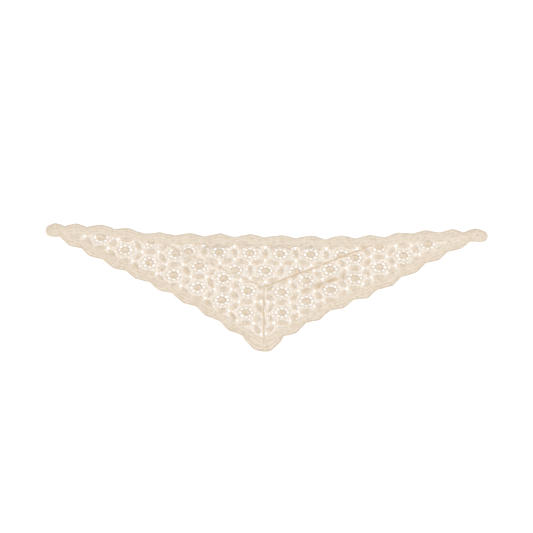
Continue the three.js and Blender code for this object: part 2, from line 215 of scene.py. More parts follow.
def inside(points, outline):
    """How far points lie inside an outline from its nearest side. Outside, it is below nought."""
    points = np.atleast_2d(points)[:, None, :]
    a, b = outline[None, :, :], np.roll(outline, -1, axis=0)[None, :, :]
    side = b - a
    t = np.clip(((points - a) * side).sum(-1) / (side * side).sum(-1), 0, 1)
    far = np.linalg.norm(a + side * t[..., None] - points, axis=-1).min(axis=1)
    spans = (a[..., 1] > points[..., 1]) != (b[..., 1] > points[..., 1])
    with np.errstate(divide="ignore", invalid="ignore"):
        cut = a[..., 0] + (points[..., 1] - a[..., 1]) / side[..., 1] * side[..., 0]
    crossed = (spans & (points[..., 0] < cut)).sum(axis=1) % 2 == 1
    return np.where(crossed, far, -far)


# %% Cut the three panels
OUTLINE_STEP = 9.0
WING_TIP = 3.0  # a wing ends where it is only this wide


def panel_top(x):
    return top_inner(x) - SEAM_GAP


def panel_foot(x):
    return lower_inner(x) + SEAM_GAP


SEAMS = {
    "left": np.array([(YOKE_LEFT, panel_top(YOKE_LEFT)), YOKE_POINT]),
    "right": np.array([YOKE_POINT, (YOKE_RIGHT, panel_top(YOKE_RIGHT))]),
    "middle": np.array([YOKE_POINT, (POINT_X, 0.0)]),
}


def edge_points(height, start, end):
    x = np.linspace(start, end, max(2, round(abs(end - start) / OUTLINE_STEP)))
    return np.stack([x, height(x)], axis=1)


def yoke_outline(grow):
    sides = [moved(SEAMS[name], SEAM_GAP / 2) for name in ("left", "right")]
    top = edge_points(lambda x: panel_top(x) + grow, YOKE_RIGHT - 1, YOKE_LEFT + 1)
    top[0] = crossing(sides[1], top[:2])
    top[-1] = crossing(sides[0], top[-2:])
    return np.vstack([[crossing(*sides)], top])


def wing_outline(sign, grow):
    x = np.arange(0, HALF_SPAN) * sign
    tip = x[np.argmax(panel_top(x) - panel_foot(x) < WING_TIP)]
    middle = moved(SEAMS["middle"], sign * SEAM_GAP / 2)
    inset = moved(SEAMS["left" if sign < 0 else "right"], -SEAM_GAP / 2)
    foot = edge_points(lambda x: panel_foot(x) - grow, tip, POINT_X + sign)
    top = edge_points(lambda x: panel_top(x) + grow, YOKE_LEFT if sign < 0 else YOKE_RIGHT, tip)
    foot[-1] = crossing(middle, foot[-2:])
    top[0] = crossing(inset, top[:2])
    return np.vstack([foot, [crossing(middle, inset)], top])


def outlines(grow):
    wings = {"wing_left": wing_outline(-1, grow), "wing_right": wing_outline(1, grow)}
    cut = {"yoke": yoke_outline(grow), **wings}
    return {name: anticlockwise(loop) for name, loop in cut.items()}


LACE_OVERLAP = 2.2  # how far the lace's yarn is worked into the edging
OUTLINES, YARN_OUTLINES = outlines(0.0), outlines(LACE_OVERLAP)
for name, outline in OUTLINES.items():
    print(f"{name}: {len(outline)} points, {area_of(outline) / 100:.0f} square centimetres")

# %% [markdown]
# ## How the cloth lies
#
# Hand-made lace never lies quite true. Slow waves pull every point a little sideways, a table of
# creases lifts the cloth, and a table of folds says where it is doubled. All are functions of place
# alone, so the yarn, the sheet under it and the edging move together. Doubled cloth shows no gaps,
# and the shade in a fold is painted into the yarn's colour: the attribute "tint" carries it to the
# material.

# %% Slack, creases and folds
SLACK = 0.7  # how far the cloth is pulled out of true
SLACK_WAVES = [(1 / 47, 1 / 61, 0.4), (1 / 83, -1 / 39, 1.9), (-1 / 29, 1 / 97, 3.1)]  # per mm, phase
CREASES = [  # x, y, degrees, length, width, height
    (158, 175.5, 17, 64, 8, 2.8),
    (128, 164.5, 10, 44, 12, 1.8),
    (194, 184, 20, 40, 6, 1.6),
    (97, 153, 14, 40, 6, 1.2),
    (-120, 240, -24, 120, 12, 1.0),
    (-196, 231, -19, 90, 9, 1.2),
]
FOLDS = [  # x, y, degrees, length, width, share of the cloth doubled
    (163, 177, 16, 36, 6.5, 1.0),
    (130, 163, 8, 36, 15, 0.5),
    (194.5, 184, 20, 30, 4.0, 0.5),
    (97, 154, 16, 36, 6, 0.32),
]
CREASE_EDGE, FOLD_EDGE = 2, 4  # a crease is round across, and a fold flat with steep sides
# painted shade in the folds: how far a fully doubled fold darkens the yarn
FOLD_PAINTED_SHADE = 0.9
FOLD_CLOSES = 0.3  # doubled further than this, the cloth shows no gaps


def slack(x, y):
    along = sum(np.sin(TAU * (x * a + y * b) + c) for a, b, c in SLACK_WAVES)
    across = sum(np.sin(TAU * (y * a - x * b) + 2 * c) for a, b, c in SLACK_WAVES)
    return SLACK * along / 2, SLACK * across / 2


def patches(x, y, rows, edge):
    """The strength of each patch in a table, at each place."""
    for middle_x, middle_y, degrees, length, width, strength in rows:
        turn = math.radians(degrees)
        along = (x - middle_x) * math.cos(turn) + (y - middle_y) * math.sin(turn)
        across = (y - middle_y) * math.cos(turn) - (x - middle_x) * math.sin(turn)
        yield strength * np.exp(-((2 * along / length) ** 4) - (2 * across / width) ** edge)


def fold_at(x, y):
    """How far the cloth is doubled at a place, from 0 to 1."""
    return np.max(list(patches(x, y, FOLDS, FOLD_EDGE)), axis=0)


# %% Putting things in their places
def in_frame(points):
    """Points on the scarf in millimetres, as places in the frame in metres."""
    return (np.asarray(points, float) - [0, HALF_DEPTH, 0]) * MM


def raised(height, *plan):
    """Points of the plane at one height. They are given whole, or as their x and y."""
    return np.column_stack([*plan, np.full(len(plan[0]), height)])


def in_scene(name, data):
    made = bpy.data.objects.new(name, data)
    bpy.context.scene.collection.objects.link(made)
    return made


def new_mesh(name, points, edges=(), faces=()):
    mesh = bpy.data.meshes.new(name)
    mesh.from_pydata(points.tolist(), edges, faces)
    return mesh


def settle(mesh):
    """Lays a finished mesh as the cloth lies, and paints the shade in the folds into its tint."""
    points = np.empty(len(mesh.vertices) * 3)
    mesh.vertices.foreach_get("co", points)
    points = points.reshape(-1, 3)
    x, y = points[:, 0] / MM, points[:, 1] / MM + HALF_DEPTH
    shift_x, shift_y = slack(x, y)
    lift = sum(patches(x, y, CREASES, CREASE_EDGE))
    points[:, 2] = np.maximum(points[:, 2], 0) + lift * MM
    points[:, 0] += shift_x * MM
    points[:, 1] += shift_y * MM
    mesh.vertices.foreach_set("co", points.ravel())
    # Painted shade: the tint is darkened where the cloth is folded.
    tint = np.zeros(len(x))
    if "tint" in mesh.attributes:
        mesh.attributes["tint"].data.foreach_get("value", tint)
    else:
        mesh.attributes.new("tint", "FLOAT", "POINT")
    mesh.attributes["tint"].data.foreach_set("value", tint + FOLD_PAINTED_SHADE * fold_at(x, y))
    mesh.update()


print(len(CREASES), "creases and", len(FOLDS), "folds")

# %% [markdown]
# ## Light, floor and camera
#
# The scarf lies on a plain white surface under a big soft light, and the camera looks straight
# down. A long lens keeps the scallops the same size from one tip to the other.

# %% Camera
CAMERA_HEIGHT = 6.0
VIEW_WIDTH = 1.3325  # metres across the picture, at the surface
VIEW_CENTRE_Y = 0.0522
SENSOR = 36.0

camera_data = bpy.data.cameras.new("camera")
camera_data.sensor_width = SENSOR
camera_data.lens = SENSOR * CAMERA_HEIGHT / VIEW_WIDTH
camera = in_scene("camera", camera_data)
camera.location = (0, VIEW_CENTRE_Y, CAMERA_HEIGHT)
bpy.context.scene.camera = camera
print(f"lens {camera_data.lens:.0f} mm")

# %% Giving nodes their inputs
def feed(tree, made, inputs):
    """Gives a node its inputs. Each is a plain value, or a socket to link from."""
    for socket, value in inputs.items():
        if isinstance(value, bpy.types.NodeSocket):
            tree.links.new(value, made.inputs[socket])
        else:
            made.inputs[socket].default_value = value


def with_nodes(data, main, inputs):
    """Turns on the nodes of a world or a material, and feeds the main one."""
    data.use_nodes = True
    feed(data.node_tree, data.node_tree.nodes[main], inputs)
    return data


# %% Light and floor
SKY = 0.78
SUN = 1.6
SUN_SOFTNESS = math.radians(32)
SUN_TILT = (math.radians(14), math.radians(-18), 0)
FLOOR_HALF = 8.0
FLOOR_LEVEL = -0.0003
FLOOR_WHITE, FLOOR_ROUGHNESS = (0.93, 0.93, 0.93, 1), 0.9

bpy.context.scene.view_settings.view_transform = "Standard"
sky = {"Color": (1, 1, 1, 1), "Strength": SKY}
bpy.context.scene.world = with_nodes(bpy.data.worlds.new("studio"), "Background", sky)

sun_data = bpy.data.lights.new("window_light", "SUN")
sun_data.energy = SUN
sun_data.angle = SUN_SOFTNESS
in_scene("window_light", sun_data).rotation_euler = SUN_TILT

corners = np.array([(-1, -1), (1, -1), (1, 1), (-1, 1)]) * FLOOR_HALF
floor_mesh = new_mesh("floor", raised(FLOOR_LEVEL, corners), [], [(0, 1, 2, 3)])
surface = {"Base Color": FLOOR_WHITE, "Roughness": FLOOR_ROUGHNESS}
white = with_nodes(bpy.data.materials.new("white_surface"), "Principled BSDF", surface)
floor_mesh.materials.append(white)
floor = in_scene("floor", floor_mesh)
floor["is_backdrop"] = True
print(f"floor {2 * FLOOR_HALF:.0f} m wide, {-FLOOR_LEVEL / MM:.1f} mm under the scarf")

# %% [markdown]
# ## Cotton yarn
#
# Mercerised cotton is smooth and only a little shiny. Close up, its surface is fine twisted plies,
# and no two lengths are dyed quite alike. One node group makes all of that from the place on the
# cloth and from two attributes of the yarn: its shade and its tint. The tint also carries painted
# shade, in the folds, along the seams and at the edging's rim. Each material gives the group its own
# two colours, and keeps the gloss and the bump for itself.

# %% The yarn's surface, as a node group
PATCH_DEPTH, PLY_DEPTH = 0.3, 0.1  # how far patches and plies pull towards the deep colour


def node(tree, kind, inputs=None, **settings):
    made = tree.nodes.new(kind)
    for key, value in settings.items():
        setattr(made, key, value)
    feed(tree, made, inputs or {})
    return made


def new_group(name, kind, inputs, outputs):
    """An empty node group, what is given to it, and its last node."""
    tree = bpy.data.node_groups.new(name, f"{kind}NodeTree")
    for way, sockets in (("INPUT", inputs), ("OUTPUT", outputs)):
        for label, socket in sockets:
            tree.interface.new_socket(label, in_out=way, socket_type=f"NodeSocket{socket}")
    return tree, tree.nodes.new("NodeGroupInput").outputs, tree.nodes.new("NodeGroupOutput")


def cotton_group():
    tree, given, out = new_group("Cotton", "Shader", [
        ("Yarn colour", "Color"), ("Deep colour", "Color"), ("Patch size", "Float"),
        ("Ply size", "Float")], [("Colour", "Color"), ("Height", "Float")])
    place = node(tree, "ShaderNodeTexCoord").outputs["Object"]
    patch = node(tree, "ShaderNodeTexNoise", {
        "Vector": place, "Scale": given["Patch size"], "Detail": 3.0, "Roughness": 0.6})
    ply = node(tree, "ShaderNodeTexNoise", {
        "Vector": place, "Scale": given["Ply size"], "Detail": 2.0, "Roughness": 0.7, "Distortion": 0.6})
    depths = [node(tree, "ShaderNodeMapRange", {
        "Value": noise.outputs["Fac"], "From Min": 0.3, "From Max": 0.7, "To Min": -reach,
        "To Max": reach}).outputs[0] for noise, reach in ((patch, PATCH_DEPTH), (ply, PLY_DEPTH))]
    # The shade and tint attributes: the yarn's tone, and in the tint also painted shade from folds,
    # seams and the edging's rim.
    dyes_and_painted_shade = [node(tree, "ShaderNodeAttribute", attribute_name=name).outputs["Fac"]
            for name in ("shade", "tint")]
    sums = [node(tree, "ShaderNodeMath", {0: first, 1: second}, operation="ADD").outputs[0]
            for first, second in (depths, dyes_and_painted_shade)]
    depth = node(tree, "ShaderNodeMath", {0: sums[0], 1: sums[1]}, operation="ADD", use_clamp=True)
    mixed = node(tree, "ShaderNodeMix", data_type="RGBA")
    # Sockets 6 and 7 are the two colours of a colour mix, and 2 is what comes out.
    feed(tree, mixed, {
        "Factor": depth.outputs[0], 6: given["Yarn colour"], 7: given["Deep colour"]})
    feed(tree, out, {"Colour": mixed.outputs[2], "Height": ply.outputs["Fac"]})
    return tree


COTTON = cotton_group()
print("Cotton:", len(COTTON.nodes), "nodes")

# %% The two finishes
COTTON_SIZES = {"Patch size": 130.0, "Ply size": 900.0}
COTTON_GLOSS = {
    "Roughness": 0.72, "Specular IOR Level": 0.25, "Sheen Weight": 0.12, "Sheen Roughness": 0.45,
}
PLY_BUMP, PLY_HEIGHT = 0.45, 0.0004


def cotton_material(name, pale, deep):
    material = with_nodes(bpy.data.materials.new(name), "Principled BSDF", COTTON_GLOSS)
    tree = material.node_tree
    group = node(tree, "ShaderNodeGroup", node_tree=COTTON)
    feed(tree, group, {"Yarn colour": (*pale, 1), "Deep colour": (*deep, 1), **COTTON_SIZES})
    bump = node(tree, "ShaderNodeBump", {
        "Height": group.outputs["Height"], "Strength": PLY_BUMP, "Distance": PLY_HEIGHT})
    feed(tree, tree.nodes["Principled BSDF"], {
        "Base Color": group.outputs["Colour"], "Normal": bump.outputs["Normal"]})
    return material


LACE_COTTON = cotton_material("lace_cotton", (0.787, 0.722, 0.65), (0.65, 0.52, 0.362))
EDGING_COTTON = cotton_material("edging_cotton", (0.765, 0.685, 0.58), (0.57, 0.47, 0.355))
print("finishes:", [m.name for m in (LACE_COTTON, EDGING_COTTON)])

# %% [markdown]
# ## Yarn from wires
#
# Everything worked in yarn starts as wires: a mesh of bare edges, with a thickness and a shade on
# each point. One small node group then turns wires into yarn. It loosens them a little, makes curves
# of them and sweeps a round section along each curve.

# %% Wires
rng = np.random.default_rng(11)
YARN_SHADE, SHADE_SPREAD = 0.4, 0.12


class Wires:
    """Paths for the yarn to follow, in millimetres."""

    def __init__(self):
        self.points, self.edges, self.attributes, self.count = [], [], {}, 0

    def add(self, path, thick, closed=False, shade=YARN_SHADE, **vectors):
        size = len(path)
        ids = self.count + np.arange(size)
        self.points.append(path)
        self.edges.extend(zip(ids[:-1].tolist(), ids[1:].tolist()))
        if closed:
            self.edges.append((int(ids[-1]), int(ids[0])))
        shade += rng.normal(0, SHADE_SPREAD)
        values = {"thickness": np.broadcast_to(thick, size) * MM, "shade": np.full(size, shade)}
        for key, value in {**values, **vectors}.items():
            self.attributes.setdefault(key, []).append(value)
        self.count += size

    def make(self, name, place):
        mesh = new_mesh(name, place(np.vstack(self.points)), self.edges)
        for key, parts in self.attributes.items():
            flat = np.concatenate(parts)
            kind, slot = ("FLOAT", "value") if flat.ndim == 1 else ("FLOAT_VECTOR", "vector")
            mesh.attributes.new(key, kind, "POINT").data.foreach_set(slot, flat.ravel())
        return in_scene(name, mesh)


# %% Node tree helpers
def geo(tree, kind, inputs=None, **settings):
    """The first output of a new geometry node."""
    return node(tree, f"GeometryNode{kind}", inputs, **settings).outputs[0]


def new_tree(name, inputs):
    return new_group(name, "Geometry", [("Geometry", "Geometry"), *inputs], [("Geometry", "Geometry")])


def object_geometry(tree, given):
    return node(tree, "GeometryNodeObjectInfo", {"Object": given}).outputs["Geometry"]


def named(tree, name, kind="FLOAT"):
    attribute = node(tree, "GeometryNodeInputNamedAttribute", {"Name": name}, data_type=kind)
    return attribute.outputs["Attribute"]


def vector_math(tree, operation, first, second):
    inputs = {0: first, ("Scale" if operation == "SCALE" else 1): second}
    return node(tree, "ShaderNodeVectorMath", inputs, operation=operation).outputs[0]


# %% Spin yarn: wires in, yarn out
SPIN_INPUTS = [("Sides", "Int"), ("Loose", "Float"), ("Seed", "Float"), ("Material", "Material")]
LOOSE_SCALE = 260.0


def spin_tree():
    tree, given, out = new_tree("Spin yarn", SPIN_INPUTS)
    noise = node(tree, "ShaderNodeTexNoise", {
        "Vector": geo(tree, "InputPosition"), "W": given["Seed"], "Scale": LOOSE_SCALE,
        "Detail": 0.0}, noise_dimensions="4D").outputs["Color"]
    centred = vector_math(tree, "SUBTRACT", noise, (0.5, 0.5, 0.5))
    offset = vector_math(tree, "SCALE", centred, given["Loose"])
    loosened = geo(tree, "SetPosition", {"Geometry": given["Geometry"], "Offset": offset})
    curves = geo(tree, "MeshToCurve", {"Mesh": loosened})
    section = geo(tree, "CurvePrimitiveCircle", {"Resolution": given["Sides"], "Radius": 1.0})
    swept = geo(tree, "CurveToMesh", {
        "Curve": curves, "Profile Curve": section, "Scale": named(tree, "thickness"),
        "Fill Caps": True})
    smooth = geo(tree, "SetShadeSmooth", {"Geometry": swept})
    real = geo(tree, "RealizeInstances", {"Geometry": smooth})
    dyed = geo(tree, "SetMaterial", {"Geometry": real, "Material": given["Material"]})
    feed(tree, out, {"Geometry": dyed})
    return tree


SPIN = spin_tree()
print("Spin yarn:", len(SPIN.nodes), "nodes")


# %% Ending a tree with yarn, and running it
def end_with_yarn(tree, wires, given, out):
    group = node(tree, "GeometryNodeGroup", node_tree=SPIN)
    feed(tree, group, {"Geometry": wires, **{label: given[label] for label, _ in SPIN_INPUTS}})
    feed(tree, out, {"Geometry": group.outputs[0]})
    return tree


def run_tree(helper, tree, values, name):
    """Runs a node tree on a helper object and keeps the result as a plain piece."""
    modifier = helper.modifiers.new("work", "NODES")
    modifier.node_group = tree
    sockets = {s.name: s.identifier for s in tree.interface.items_tree if s.in_out == "INPUT"}
    for label, value in values.items():
        modifier[sockets[label]] = value
    depsgraph = bpy.context.evaluated_depsgraph_get()
    mesh = bpy.data.meshes.new_from_object(
        helper.evaluated_get(depsgraph), preserve_all_data_layers=True, depsgraph=depsgraph)
    bpy.data.objects.remove(helper)
    settle(mesh)
    mesh.name = name
    print(f"{name}: {sum(len(p.vertices) - 2 for p in mesh.polygons)} triangles")
    return in_scene(name, mesh)


# %% [markdown]
# ## One cell of the lace
#
# The pattern is a honeycomb. In the middle of each cell is a rosette: a solid heart, eight eyelets
# between its spokes, and a rim of short stitches. Along each side of the cell lies a leaf, made of
# long stitches gathered at both ends. A trellis of thin zigzags fills what is left, and the corner
# where three leaves meet stays open.

# %% The sizes of a rosette and a leaf
STRETCH = (1.12, 0.84)  # a rosette's width and height, against a round one's
HUB = dict(radius=1.6, points=10, thick=0.6, height=2.2)
HEART_POST = dict(count=22, radii=(1.3, 3.5, 6.1, 8.7), heights=(1.7, 2.3, 2.4, 1.9),
                  thick=(0.5, 0.8, 1.05, 1.1), shade=0.58)
HEART_CHAIN = dict(radius=9.2, stitches=24, width=0.42, tilt=0.4, thick=0.5, height=1.75)
EYELETS = 8
SPOKE = dict(radii=(9.6, 12.0, 14.4, 16.4), heights=(1.5, 1.7, 1.6, 1.3), thick=0.45,
             shade=YARN_SHADE, apart=0.62)
EYELET_RING = dict(radius=16.7, points=44, thick=0.5, height=1.4)
RIM_POST = dict(count=40, radii=(16.9, 17.9, 18.9), heights=(1.2, 1.35, 1.1),
                thick=(0.5, 0.6, 0.5), shade=0.45)
LEAF = dict(strands=9, points=9, half_width=5.6, clear=3.6, fullness=2.4, ends=0.85, low=1.15,
            rise=0.9, droop=0.4, thick=(0.42, 0.78), shade=0.48)


# %% The rosette
def polar(radius, angle, height):
    """Places round the middle of a rosette."""
    radius, angle, height = np.broadcast_arrays(radius, angle, height)
    return np.stack([
        STRETCH[0] * radius * np.cos(angle), STRETCH[1] * radius * np.sin(angle), height], axis=1)


def around(count, start=0.0):
    return start + np.arange(count) * TAU / count


def ring(wires, radius, points, thick, height):
    wires.add(polar(radius, around(points), height), thick, closed=True)


def chain_ring(wires, radius, stitches, width, tilt, thick, height):
    """A closed chain: two strands that cross at every stitch."""
    swing = width * (-1.0) ** np.arange(2 * stitches)
    for side in (-1, 1):
        ring(wires, radius + side * swing, 2 * stitches, thick, height + side * swing * tilt)


def radiate(wires, row, angles):
    """One path outwards at each angle."""
    for angle in angles:
        wires.add(polar(row["radii"], angle, row["heights"]), row["thick"], shade=row["shade"])


def rosette(wires):
    ring(wires, **HUB)
    radiate(wires, HEART_POST, around(HEART_POST["count"]))
    chain_ring(wires, **HEART_CHAIN)
    bend = SPOKE["apart"] / np.array(SPOKE["radii"])
    spokes = around(EYELETS, TAU / EYELETS / 2)
    radiate(wires, SPOKE, [angle + side * bend for angle in spokes for side in (-1, 0, 1)])
    ring(wires, **EYELET_RING)
    radiate(wires, RIM_POST, around(RIM_POST["count"]))


# %% The leaf
def leaf_profile(u):
    """Half the width of a leaf along its length, as a share: u goes from -1 to 1."""
    return (1 - np.abs(u) ** LEAF["fullness"]) ** LEAF["ends"]


def leaf(wires, start, end):
    along = unit(end - start)
    length = np.linalg.norm(end - start) - 2 * LEAF["clear"]
    u = np.linspace(-1, 1, LEAF["points"])
    wide = leaf_profile(u)
    thin, full = LEAF["thick"]
    for v in np.linspace(-1, 1, LEAF["strands"]):
        plan = (start + end) / 2 + np.outer(u * length / 2, along)
        plan += np.outer(v * wide * LEAF["half_width"], left_of(along))
        height = LEAF["low"] + LEAF["rise"] * wide * (1 - LEAF["droop"] * v * v)
        wires.add(raised(height, plan), thin + (full - thin) * wide, shade=LEAF["shade"])


# %% The honeycomb of each panel
# The first rosette's place, the steps to the next in its row and in the next row, and the way from
# a main leaf's middle to its two corners.
LACE = {
    "yoke": dict(first=(-42.1, 245.9), main=(76.4, -1.9), next=(37.3, 43.0), corner=(0, 17)),
    "wing_left": dict(first=(-51.4, 97.2), main=(4.4, 53.6), next=(-60.4, 31.3), corner=(-20.3, 0)),
    "wing_right": dict(first=(38.6, 96.9), main=(-0.6, 51.3), next=(60.7, 28.5), corner=(20.3, 0)),
}
MOST_CELLS = 9
CELL_REACH = 48.0


def lattice(name):
    """The places of all the rosettes that touch a panel."""
    first, main, following = (np.array(LACE[name][key], float) for key in ("first", "main", "next"))
    steps = range(-MOST_CELLS, MOST_CELLS + 1)
    places = np.array([first + main * i + following * j for i in steps for j in steps])
    return places[inside(places, OUTLINES[name]) > -CELL_REACH]


def cell_corners(name):
    """Two corners with a main leaf between them, the corner beside, and the whole hexagon."""
    main, following, corner = (np.array(LACE[name][key], float) for key in ("main", "next", "corner"))
    first, second, side = main / 2 + corner, main / 2 - corner, following - main / 2 - corner
    hexagon = np.array([first, second, side, -first, -second, -side])
    return first, second, side, hexagon[np.argsort(np.arctan2(hexagon[:, 1], hexagon[:, 0]))]


def sides_of(hexagon):
    return list(zip(hexagon, np.roll(hexagon, -1, axis=0)))


def depth_in_cell(points, hexagon):
    """How deep points lie inside a cell, from its nearest side."""
    ways = [(a, unit(b - a)) for a, b in sides_of(hexagon)]
    return np.min([
        way[0] * (points[:, 1] - a[1]) - way[1] * (points[:, 0] - a[0]) for a, way in ways], axis=0)


def corner_distance(points, hexagon):
    return np.min([np.hypot(*(points - corner).T) for corner in hexagon], axis=0)


# %% The windows beside the leaves
WINDOW = dict(least=2.2, margin=0.2, half_length=12.0, points=12)
RIM_REACH = 19.6


def window_holes(hexagon):
    """Where the net between a leaf and a rosette's rim is worked in thinner yarn."""
    holes = []
    for a, b in sides_of(hexagon):
        middle, along = (a + b) / 2, unit(b - a)
        inwards = left_of(along)
        reach = abs(np.dot(middle, inwards))
        rim = RIM_REACH * math.hypot(STRETCH[0] * inwards[0], STRETCH[1] * inwards[1])
        free = reach - LEAF["half_width"] - rim
        if free < WINDOW["least"]:
            continue
        centre = middle + inwards * (LEAF["half_width"] + free / 2)
        centre += along * np.dot(-inwards * reach - middle, along) / 2
        turn, half = around(WINDOW["points"]), free / 2 + WINDOW["margin"]
        holes.append(centre + np.outer(np.cos(turn) * WINDOW["half_length"], along)
                     + np.outer(np.sin(turn) * half, inwards))
    return holes


def in_windows(points, windows):
    hits = [inside(points, window) > -WINDOW["margin"] for window in windows]
    return np.any(hits, axis=0) if hits else np.zeros(len(points), bool)


# %% The trellis, and one whole cell
CORNER_CLEAR = 5.4
TRELLIS = dict(inner=19.4, row=3.2, rows=9, repeats=34, thick=0.4, thin=0.3, height=0.95, shade=0.22)


def trellis_row(number):
    """The radius and angle of each bend in one zigzag."""
    count = 2 * TRELLIS["repeats"]
    odd = (np.arange(count) + number) % 2
    return TRELLIS["inner"] + number * TRELLIS["row"] + odd * TRELLIS["row"], around(count)


def runs(keep):
    """The stretches of a closed path along which keep is true."""
    if keep.all():
        return [(np.arange(len(keep)), True)]
    order = np.roll(np.arange(len(keep)), -np.argmin(keep))
    parts = np.split(order, np.flatnonzero(~keep[order]))
    return [(part[1:], False) for part in parts if len(part) > 2]


def trellis(wires, hexagon):
    windows = window_holes(hexagon)
    for number in range(TRELLIS["rows"]):
        bends = polar(*trellis_row(number), TRELLIS["height"])
        path = np.empty((2 * len(bends), 3))
        path[::2], path[1::2] = bends, (bends + np.roll(bends, -1, axis=0)) / 2
        plan = path[:, :2]
        keep = (depth_in_cell(plan, hexagon) > 0) & (corner_distance(plan, hexagon) > CORNER_CLEAR)
        thick = np.where(in_windows(plan, windows), TRELLIS["thin"], TRELLIS["thick"])
        for ids, closed in runs(keep):
            wires.add(path[ids], thick[ids], closed=closed, shade=TRELLIS["shade"])


def lace_cell(name):
    first, second, side, hexagon = cell_corners(name)
    wires = Wires()
    rosette(wires)
    for start, end in ((first, second), (first, side), (second, -side)):
        leaf(wires, start, end)
    trellis(wires, hexagon)
    return wires.make(f"{name}_cell", lambda points: points * MM)


print("cells that reach each panel:", {name: len(lattice(name)) for name in LACE})

# %% [markdown]
# ## Repeating the lace
#
# The next tree sets one cell on every point of a honeycomb and lays them all on the panel. A ray
# from each point of yarn looks down for the trimmer, a flat net cut to the panel's outline. Yarn
# that finds nothing below it is outside, and goes. The trimmer also has the open corners along the
# edging, the slots by the middle seam and some wider meshes cut out of it, so that no yarn runs
# across them.

# %% The repeating tree
LACE_INPUTS = [("Cell", "Object"), ("Panel", "Object"), *SPIN_INPUTS]
RAY_START = (0, 0, 0.05)


def lace_tree():
    tree, given, out = new_tree("Repeat lace", LACE_INPUTS)
    cells = geo(tree, "InstanceOnPoints", {
        "Points": given["Geometry"], "Instance": object_geometry(tree, given["Cell"])})
    wires = geo(tree, "RealizeInstances", {"Geometry": cells})
    above = vector_math(tree, "ADD", geo(tree, "InputPosition"), RAY_START)
    ray = node(tree, "GeometryNodeRaycast", {
        "Target Geometry": object_geometry(tree, given["Panel"]), "Source Position": above,
        "Ray Direction": (0, 0, -1), "Ray Length": 1.0}).outputs["Is Hit"]
    outside = node(tree, "FunctionNodeBooleanMath", {0: ray}, operation="NOT").outputs[0]
    trimmed = geo(tree, "DeleteGeometry", {"Geometry": wires, "Selection": outside}, domain="POINT")
    return end_with_yarn(tree, trimmed, given, out)


REPEAT = lace_tree()
print("Repeat lace:", len(REPEAT.nodes), "nodes")

# %% Openings along the edging and the middle seam
TOP_OPENING = dict(turns=(28, 90, 152, 208, 270, 332), arm=8.6, notch=2.6, near=9.0, drop=1.6,
                   headroom=0.4, margin=0.3)
FOOT_OPENING = dict(turns=(90, 150, 210, 270, 330, 30), arm=5.8, notch=2.3, near=9.0, past=5.0,
                    rise=8.6)
SEAM_SLOTS = [  # beside the middle seam: across, up, half width, half height
    (-7.2, 125, 2.3, 5.4), (10.6, 124, 2.4, 5.0), (-6.2, 86, 1.8, 4.8), (9.4, 83, 1.9, 4.6),
    (-6.8, 104, 1.5, 3.0), (9.8, 103, 1.4, 3.2), (-6.6, 60, 1.8, 3.4), (10.4, 60, 1.8, 3.6),
]
SLOT_POINTS = 8


def compass(turns):
    return np.column_stack([np.cos(turns), np.sin(turns)])


def star(row):
    """A star of three arms, with a notch between each two."""
    reach = np.where(np.arange(6) % 2 == 0, row["arm"], row["notch"])
    return compass(np.radians(row["turns"])) * reach[:, None]


def edge_openings(name):
    """The open corners along the edging: a Y under the top one, an upturned Y over the lower ones."""
    found, top_arm = [], TOP_OPENING["arm"] * TOP_OPENING["headroom"]
    for place in lattice(name):
        for x, y in place + cell_corners(name)[:2]:
            top, foot = panel_top(x), panel_foot(x)
            if 0 < top - y < TOP_OPENING["near"]:
                found.append(star(TOP_OPENING) + [x, min(y, top - top_arm) - TOP_OPENING["drop"]])
            elif name != "yoke" and -FOOT_OPENING["past"] < y - foot < FOOT_OPENING["near"]:
                found.append(star(FOOT_OPENING) + [x, max(y, foot + FOOT_OPENING["rise"])])
    return [hole for hole in found if inside(hole, OUTLINES[name]).min() > TOP_OPENING["margin"]]


def seam_slots(name):
    sign = {"wing_left": -1, "wing_right": 1}.get(name, 0)
    return [compass(around(SLOT_POINTS)) * [wide, tall] + [POINT_X + x, y]
            for x, y, wide, tall in SEAM_SLOTS if sign * x > 0]


# %% Meshes that are wider than the rest
FLECK = dict(seed=17, tries=9000, apart=6.4, clear=18.4, leaf_margin=0.2, corner=8.5, edge=3.0,
             points=5, sizes=(1.5, 2.6), uneven=(0.8, 1.2))


def in_leaf(points, hexagon, margin):
    hit = np.zeros(len(points), bool)
    for a, b in sides_of(hexagon):
        along, middle = unit(b - a), (a + b) / 2
        half = np.linalg.norm(b - a) / 2 - LEAF["clear"]
        u = (points - middle) @ along / (half + margin)
        v = (points - middle) @ left_of(along)
        wide = LEAF["half_width"] * leaf_profile(np.clip(u, -1, 1)) + margin
        hit |= (np.abs(u) < 1) & (np.abs(v) < wide)
    return hit


def fleck_fits(point, outline, places, hexagon):
    """Whether a place is open ground, clear of rosettes, leaves, corners, edges and folds."""
    steps = point - places
    rounds = np.hypot(steps[:, 0] / STRETCH[0], steps[:, 1] / STRETCH[1])
    here = steps[[np.argmin(rounds)]]
    if rounds.min() < FLECK["clear"] or in_leaf(here, hexagon, FLECK["leaf_margin"])[0]:
        return False
    if corner_distance(here, hexagon)[0] < FLECK["corner"]:
        return False
    return inside(point, outline)[0] > FLECK["edge"] and fold_at(*point) < FOLD_CLOSES


